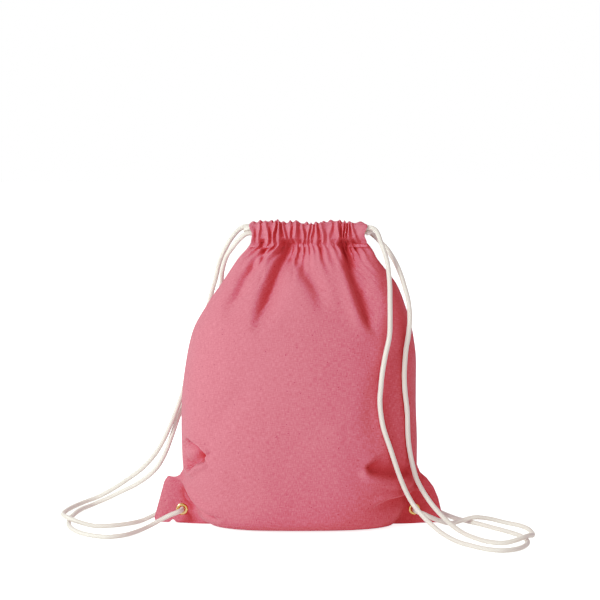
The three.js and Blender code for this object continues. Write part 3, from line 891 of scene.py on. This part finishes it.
def section(height):
    """Points across one panel at a height, in mm: x, distance from the seam plane, z."""
    values = [smooth_curve(height, BODY[:, 0], BODY[:, k]) for k in range(1, 6)]
    left, right, depth, opening, fullness = (float(v) for v in values)
    angle = np.linspace(-math.pi / 2, math.pi / 2, SECTION_SAMPLES)
    x = (left + right) / 2 + (right - left) / 2 * np.sin(angle)
    roundness = np.maximum(1 - np.abs(np.sin(angle)) ** SECTION_POWER, 0)
    y = opening + (depth - opening) * roundness ** (fullness / 2)
    pieces = [np.stack([x, y, np.full_like(x, height)], 1)]
    if height < LEFT_EAR[0][1]:
        pieces.insert(0, ear_strip(LEFT_EAR, height, left))
    if height < RIGHT_EAR[0][1]:
        pieces.append(ear_strip(RIGHT_EAR, height, right)[::-1])
    line = np.vstack(pieces)
    along = lengths_along(line)
    return points_at(line, along, np.linspace(0, along[-1], COLUMNS))


def relax(points, rounds, mask):
    """Evens out a grid, with its border held."""
    for _ in range(rounds):
        inner = points[1:-1, 1:-1]
        mean = (points[:-2, 1:-1] + points[2:, 1:-1] + points[1:-1, :-2] + points[1:-1, 2:]) / 4
        points[1:-1, 1:-1] = inner + (mean - inner) * mask[1:-1, 1:-1, None]
    return points


def body_grid(side):
    """The panel from the bottom seam to the stitching, in mm, and the height of each row."""
    top = 1000 * STITCH_HEIGHT
    heights = np.linspace(0, top, int(top / BODY_STEP) + 1)
    base = section(0.0)
    rows = []
    for k in range(UNDER_ROWS):
        row = base.copy()
        row[:, 1] = SEAM_GAP + (base[:, 1] - SEAM_GAP) * k / UNDER_ROWS
        row[:, 2] = base[:, 2] + 0.3
        rows.append(row)
    rows += [section(float(height)) for height in heights]
    nominal = np.concatenate([np.zeros(UNDER_ROWS), heights])[:, None] * np.ones((1, COLUMNS))
    mask = 0.9 * smoothstep((RELAX_TOP - nominal) / RELAX_EASE)
    mask[: UNDER_ROWS + 1] *= 0.3
    points = relax(np.array(rows), RELAX_ROUNDS, mask)
    points[..., 2] = np.maximum(points[..., 2], LOWEST)
    points[..., 1] *= side
    return points, nominal


def soft_floor(value, ease):
    """The value where it is above zero, eased into zero below."""
    return ease * np.log1p(np.exp(np.clip(value / ease, -40, 40)))


def pleat_wave(x, pleats):
    """How far out the pleats are at x, from about -1 in a valley to 1 on a ridge."""
    table = np.array(pleats, float)
    i = np.clip(np.searchsorted(table[:, 0], x) - 1, 0, len(table) - 2)
    t = (x - table[i, 0]) / (table[i + 1, 0] - table[i, 0])
    t = (1 - np.cos(math.pi * np.clip(t, 0, 1))) / 2
    return table[i, 1] * (1 - t) + table[i + 1, 1] * t


# The slack of the cloth: the size of its waves and how far they stand out, mm.
BROAD_WAVES = (62, 1.3)
SMALL_WAVES = (23, 0.5)
SEAM_STIFFNESS = 14  # the cloth waves freely this far from a side seam, mm
BASE_STIFFNESS = 22  # and this far above the base
PLEAT_DRIFT = 1.6  # how far the pleats wander sideways below the channel, mm
EAR_START = 140  # where the flat corners begin, mm from the bag's middle
EAR_FADE = 16
EAR_CEILING = 82  # and where they end, mm above the floor
EAR_CEILING_FADE = 20
EYELET_FLAT = 7  # the cloth is flat this near the middle of an eyelet, mm
EYELET_EASE = 9  # and has all of its relief this much further out


def flat_across(columns):
    """Where each column is across the flat panel, mm."""
    return columns * 1000 * FLAT_WIDTH


def edge_quiet(columns, nominal):
    """The share of its relief that cloth keeps near the side seams and the base."""
    edge = flat_across(np.minimum(columns, 1 - columns))
    quiet = smoothstep(edge / SEAM_STIFFNESS)[None, :] * np.ones_like(nominal)
    quiet[:UNDER_ROWS] = 0
    return quiet * (smoothstep(nominal / BASE_STIFFNESS) * 0.85 + 0.15)


def body_relief(side, body, nominal, wave, quiet):
    """How far out the cloth of a panel stands from its smooth shape, mm."""
    x = body[..., 0]
    z = body[..., 2]
    seed = 3 if side == FRONT else 8
    across = flat_across(np.linspace(0, 1, COLUMNS))[None, :] * np.ones_like(x)
    relief = wave * np.interp(nominal, PLEAT_HEIGHTS, PLEAT_DEPTHS)
    relief = relief + fold_relief(x, z, FRONT_FOLDS if side == FRONT else BACK_FOLDS)
    for cell, height in (BROAD_WAVES, SMALL_WAVES):
        relief = relief + height * lattice_noise(across, nominal, cell, seed)
        seed += 1
    ears = smoothstep((np.abs(x - 1) - EAR_START) / EAR_FADE)
    ears = ears * smoothstep((EAR_CEILING - z) / EAR_CEILING_FADE)
    relief = relief * quiet * np.where(relief < 0, 1 - 0.85 * ears, 1 - 0.2 * ears)
    for eyelet in (LEFT_EYELET_X, RIGHT_EYELET_X):
        gap = np.hypot(x - 1000 * eyelet, z - 1000 * EYELET_HEIGHT)
        relief = relief * smoothstep((gap - EYELET_FLAT) / EYELET_EASE)
    return relief


# The channel's section from the stitching, up its outer face, over and down its inner one:
# distance out from the middle of the channel, height above the stitching as a share of the
# way to the top, how far the pleats stand out, and how much they lift it.
CHANNEL_SECTION = [
    (0.6, 0.00, 2.0, 0), (3.0, 0.14, 2.5, 0), (5.3, 0.32, 3.0, 0), (6.6, 0.54, 3.2, 0.2),
    (6.3, 0.78, 2.9, 0.8), (4.4, 0.93, 2.2, 1.6), (1.6, 1.00, 0.8, 2.0), (-1.2, 1.00, -0.3, 2.0),
    (-3.6, 0.93, -0.7, 1.4), (-4.6, 0.78, -0.8, 0.7), (-4.8, 0.54, -0.8, 0), (-4.2, 0.30, -0.8, 0),
    (-2.2, 0.12, -0.7, 0), (-0.5, 0.00, -0.4, 0), (-0.6, -0.17, -0.2, 0),
]
CORD_ROOM = 3.9  # the outer face of the channel never comes nearer its middle, mm
CHANNEL_ROWS = 64
FLARE = 3.5  # mm that the top of each open end of the channel stands out
FLARE_WIDTH = 25  # over this much cloth, mm
SEAM_PARTS = 366  # the panels part above this height, mm
STITCHED_HALF = 0.6  # from the channel's middle to its outer face at the stitching, mm
BACK_RISE = 0.4  # how much higher the back channel's top is, mm
BACK_WAVES = (40, 0.8)  # and the size and height of its waves, mm
# How far the pleats lean sideways up the channel, mm, and how often that changes along it.
LEAN_SLOW = (2.4, 23)
LEAN_QUICK = (1.6, 41)
DEEPEST_SAG = -0.55  # of the channel's top between pleats, as a share of their lift


def channel_rows(side, sewn_row, position, sewn, pleats):
    """The rows of the channel, up from the stitching and over its top to its inner edge, mm."""
    columns = np.linspace(0, 1, COLUMNS)
    base = 1000 * STITCH_HEIGHT
    centre = np.array([1000 * channel_offset(value / 1000) for value in position])
    outline = np.array(TOP_LINE, float)
    top = smooth_curve(position, outline[:, 0], outline[:, 1])
    if side == BACK:
        across = flat_across(columns)
        cell, height = BACK_WAVES
        top = top + BACK_RISE + height * lattice_noise(across, across * 0, cell, 5)
    edge = flat_across(np.minimum(columns, 1 - columns))
    flare = FLARE * smoothstep(1 - edge / FLARE_WIDTH) * np.sign(columns - 0.5)
    table = np.array(CHANNEL_SECTION, float)
    knots = np.linspace(0, 1, len(table))
    rows = []
    for k in range(1, CHANNEL_ROWS + 1):
        share = k / CHANNEL_ROWS
        out, rise, push, lift = (float(smooth_curve(share, knots, table[:, c])) for c in range(4))
        drift = LEAN_SLOW[0] * rise * np.sin(columns * LEAN_SLOW[1])
        quick = np.sin(columns * LEAN_QUICK[1] + side)
        drift = drift + LEAN_QUICK[0] * math.sin(5 * rise) * quick
        local = pleat_wave(position + drift, pleats)
        away = out + push * local
        if out > CORD_ROOM and rise > 0.2:
            away = CORD_ROOM + soft_floor(away - CORD_ROOM, 0.5)
        middle = sewn + (centre - sewn) * float(smoothstep(rise / 0.35))
        x = sewn_row[:, 0] + (position - sewn_row[:, 0]) * smoothstep(rise * 2)
        x = x + flare * smoothstep((rise - 0.55) / 0.4)
        z = base + rise * (top - base) + lift * np.maximum(local, DEEPEST_SAG)
        rows.append(np.stack([x, side * (middle + away), z], axis=1))
    return np.array(rows)


def build_panel(side):
    """A panel's cloth: a grid in metres, its normals and flat coordinates, and its sewn row."""
    pleats = FRONT_PLEATS if side == FRONT else BACK_PLEATS
    columns = np.linspace(0, 1, COLUMNS)
    body, nominal = body_grid(side)
    normals = grid_normals(body) * -side
    in_channel = 1000 * (CHANNEL_LEFT + (CHANNEL_RIGHT - CHANNEL_LEFT) * columns)
    position = in_channel + PLEAT_DRIFT * np.sin(nominal / 11 + columns * 9)
    wave = pleat_wave(position, pleats)
    quiet = edge_quiet(columns, nominal)
    relief = body_relief(side, body, nominal, wave, quiet)
    body = body + normals * relief[..., None]
    notch = ((body[..., 0] - NOTCH_X) / NOTCH_WIDTH) ** 2 + body[..., 2] / NOTCH_HEIGHT
    body[..., 2] = np.maximum(body[..., 2] + NOTCH_RISE * np.exp(-notch), LOWEST)
    reach = side * body[..., 1]
    body[..., 1] = side * np.maximum(reach, np.where(nominal < SEAM_PARTS, SEAM_GAP, reach))

    sewn = side * body[-1, :, 1] - STITCHED_HALF - wave[-1] * PLEAT_DEPTHS[-1] * quiet[-1]
    channel = channel_rows(side, body[-1], position[-1], sewn, pleats)
    cloth = np.concatenate([body, channel]) * MM
    steps = np.linalg.norm(np.diff(cloth, axis=0), axis=2).mean(1)
    up = np.concatenate([[0], np.cumsum(steps)])
    uv = np.stack(np.broadcast_arrays(columns[None, :] * FLAT_WIDTH, up[:, None]), axis=2)
    return cloth, grid_normals(cloth) * -side, uv, len(body) - 1


PANEL_THICKNESS = 0.0006


def make_bag_cloth():
    """Both panels, each cut into a panel and a channel, left and right of the middle."""
    grids = {}
    middle = COLUMNS // 2
    halves = (("left_half", slice(0, middle + 1)), ("right_half", slice(middle, COLUMNS)))
    for side, word in ((FRONT, "front"), (BACK, "back")):
        cloth, normals, uv, sewn = build_panel(side)
        grids[side] = (cloth[sewn], normals[sewn])
        for part, rows in (("channel", slice(sewn, None)), ("panel", slice(0, sewn + 1))):
            for half, span in halves:
                piece = thick_sheet(
                    f"{word}_{part}_{half}", cloth[rows, span], normals[rows, span],
                    PANEL_THICKNESS, uv[rows, span], CANVAS, flip=side == BACK,
                )
                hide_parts(f"{word}_{part}")
                bend_with_mouth(piece)
    return grids


# ------------ stitching

STITCH_LENGTH = 0.0034
STITCH_PITCH = 0.0042
STITCH_RADIUS = 0.0004
STITCH_SIDES = 6
STITCH_RINGS = 7
STITCH_TIP = 0.12  # how far the arch of a stitch is cut off at its ends, radians


def stitch_row(name, line, out, node_name):
    """A row of lock stitches lying on the cloth along a line of points."""
    along = lengths_along(line)
    swell = np.sin(np.linspace(STITCH_TIP, math.pi - STITCH_TIP, STITCH_RINGS))
    radii = STITCH_RADIUS * (0.35 + 0.65 * swell)
    angle = 2 * math.pi * np.arange(STITCH_SIDES) / STITCH_SIDES
    points = []
    faces = []
    for k in range(int(along[-1] / STITCH_PITCH)):
        at = (k + 0.1) * STITCH_PITCH + np.linspace(0, STITCH_LENGTH, STITCH_RINGS)
        lift = points_at(out, along, at)
        centre = points_at(line, along, at)
        centre = centre + lift * (STITCH_RADIUS * (0.9 * swell - 0.35))[:, None]
        across = unit(np.cross(unit(np.gradient(centre, axis=0)), lift))
        around = np.cos(angle)[:, None] * across[:, None] + np.sin(angle)[:, None] * lift[:, None]
        rings = centre[:, None] + radii[:, None, None] * around
        index = len(points) + np.arange(STITCH_RINGS * STITCH_SIDES).reshape(STITCH_RINGS, -1)
        points += rings.reshape(-1, 3).tolist()
        faces += grid_quads(np.hstack([index, index[:, :1]])).tolist()
        faces += [index[0, ::-1].tolist(), index[-1].tolist()]
    piece = mesh_object(name, points, faces, THREAD)
    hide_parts(node_name)
    bend_with_mouth(piece)


def make_stitching(grids):
    middle = COLUMNS // 2
    halves = (("left_half", slice(2, middle + 1)), ("right_half", slice(middle, COLUMNS - 2)))
    for side, word in ((FRONT, "front"), (BACK, "back")):
        line, out = grids[side]
        node_name = f"{word}_channel_stitching"
        for half, span in halves:
            stitch_row(f"{node_name}_{half}", line[span], out[span], node_name)


# ------------ seam allowances

ALLOWANCE_WIDTH = 8.0  # mm
ALLOWANCE_THICKNESS = 0.0011
ALLOWANCE_SHARES = np.linspace(0, 1, 6)
ALLOWANCE_INSET = 1.6  # from the side seams, mm
ALLOWANCE_FOOT = 1.8  # from the floor, mm
SIDE_SPAN = (25, 350)  # heights, mm
BOTTOM_SPAN = (-100, 108)


def seam_edge(name, strip, replaced):
    """One overlocked edge, from a grid of points in mm."""
    strip = strip * MM
    uv = strip[..., [0, 2]]
    piece = thick_sheet(name, strip, grid_normals(strip), ALLOWANCE_THICKNESS, uv, CANVAS, False)
    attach(piece, "bag")
    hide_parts(replaced)


def make_allowances():
    """The overlocked edges inside the seams, a little wavy, in the canvas they are cut from."""
    heights = np.linspace(*SIDE_SPAN, 120)
    for word, column, inward in (("left", 1, 1), ("right", 2, -1)):
        edge = smooth_curve(heights, BODY[:, 0], BODY[:, column])
        strip = []
        for share in ALLOWANCE_SHARES:
            wave = 0.7 * share * np.sin(heights / 6.5 + share)
            x = edge + inward * (ALLOWANCE_INSET + ALLOWANCE_WIDTH * share)
            strip.append(np.stack([x, wave, heights], 1))
        seam_edge(f"{word}_seam_edge", np.stack(strip, axis=1), f"{word}_seam_allowance")
    x = np.linspace(*BOTTOM_SPAN, 90)
    strip = []
    for share in ALLOWANCE_SHARES:
        wave = 0.8 * share * np.sin(x / 7 + share)
        z = np.full_like(x, ALLOWANCE_FOOT + ALLOWANCE_WIDTH * share)
        strip.append(np.stack([x, wave, z], 1))
    seam_edge("bottom_seam_edge", np.array(strip), "bottom_seam_allowance")


# ------------ eyelets

# Radius and distance from the seam plane, mm: the barrel with its domed flange in front,
# rolled over its washer behind.
EYELET_PROFILE = [
    (4.2, -2.3), (4.35, -2.65), (4.8, -2.88), (5.5, -2.95), (6.3, -2.88), (7.0, -2.65), (7.5, -2.3),
    (7.6, -2.05), (7.5, -1.85), (6.6, -1.95), (5.6, -1.9), (4.95, -1.6), (4.9, 0.5), (4.9, 2.6),
    (5.3, 2.85), (5.9, 2.9), (6.25, 3.1), (6.2, 3.5), (5.7, 3.78), (5.0, 3.8), (4.4, 3.55), (4.2, 3.1),
]
WASHER_PROFILE = [
    (5.2, 1.85), (6.2, 1.75), (7.2, 1.85), (7.45, 2.0), (7.4, 2.2), (6.9, 2.4), (6.0, 2.6), (5.25, 2.6),
]
TURN_STEPS = 72


def smooth_ring(profile):
    """A closed profile with its corners eased by two rounds of corner cutting."""
    ring = np.array(profile, float)
    for _ in range(2):
        after = np.roll(ring, -1, axis=0)
        ring = np.stack([0.75 * ring + 0.25 * after, 0.25 * ring + 0.75 * after], 1).reshape(-1, 2)
    return ring


def turned(name, profile, x, replaced):
    """A profile turned around the axis of an eyelet."""
    outline = smooth_ring(profile)
    angle = np.linspace(0, 2 * math.pi, TURN_STEPS, endpoint=False)
    radius = outline[:, 0][:, None]
    points = np.stack([
        x + MM * radius * np.cos(angle),
        MM * outline[:, 1][:, None] * np.ones_like(angle),
        EYELET_HEIGHT + MM * radius * np.sin(angle),
    ], axis=2).reshape(-1, 3)
    index = np.arange(len(points)).reshape(len(outline), TURN_STEPS)
    faces = grid_quads(np.pad(index, ((0, 1), (0, 1)), mode="wrap"))
    piece = mesh_object(name, points, faces, BRASS)
    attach(piece, "bag")
    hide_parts(replaced)


def make_eyelets():
    for word, x in (("left", LEFT_EYELET_X), ("right", RIGHT_EYELET_X)):
        turned(f"{word}_eyelet_rolled", EYELET_PROFILE, x, f"{word}_eyelet")
        turned(f"{word}_eyelet_washer_pressed", WASHER_PROFILE, x, f"{word}_eyelet_washer")


make_cords()
make_runs()
make_stitching(make_bag_cloth())
make_allowances()
make_eyelets()
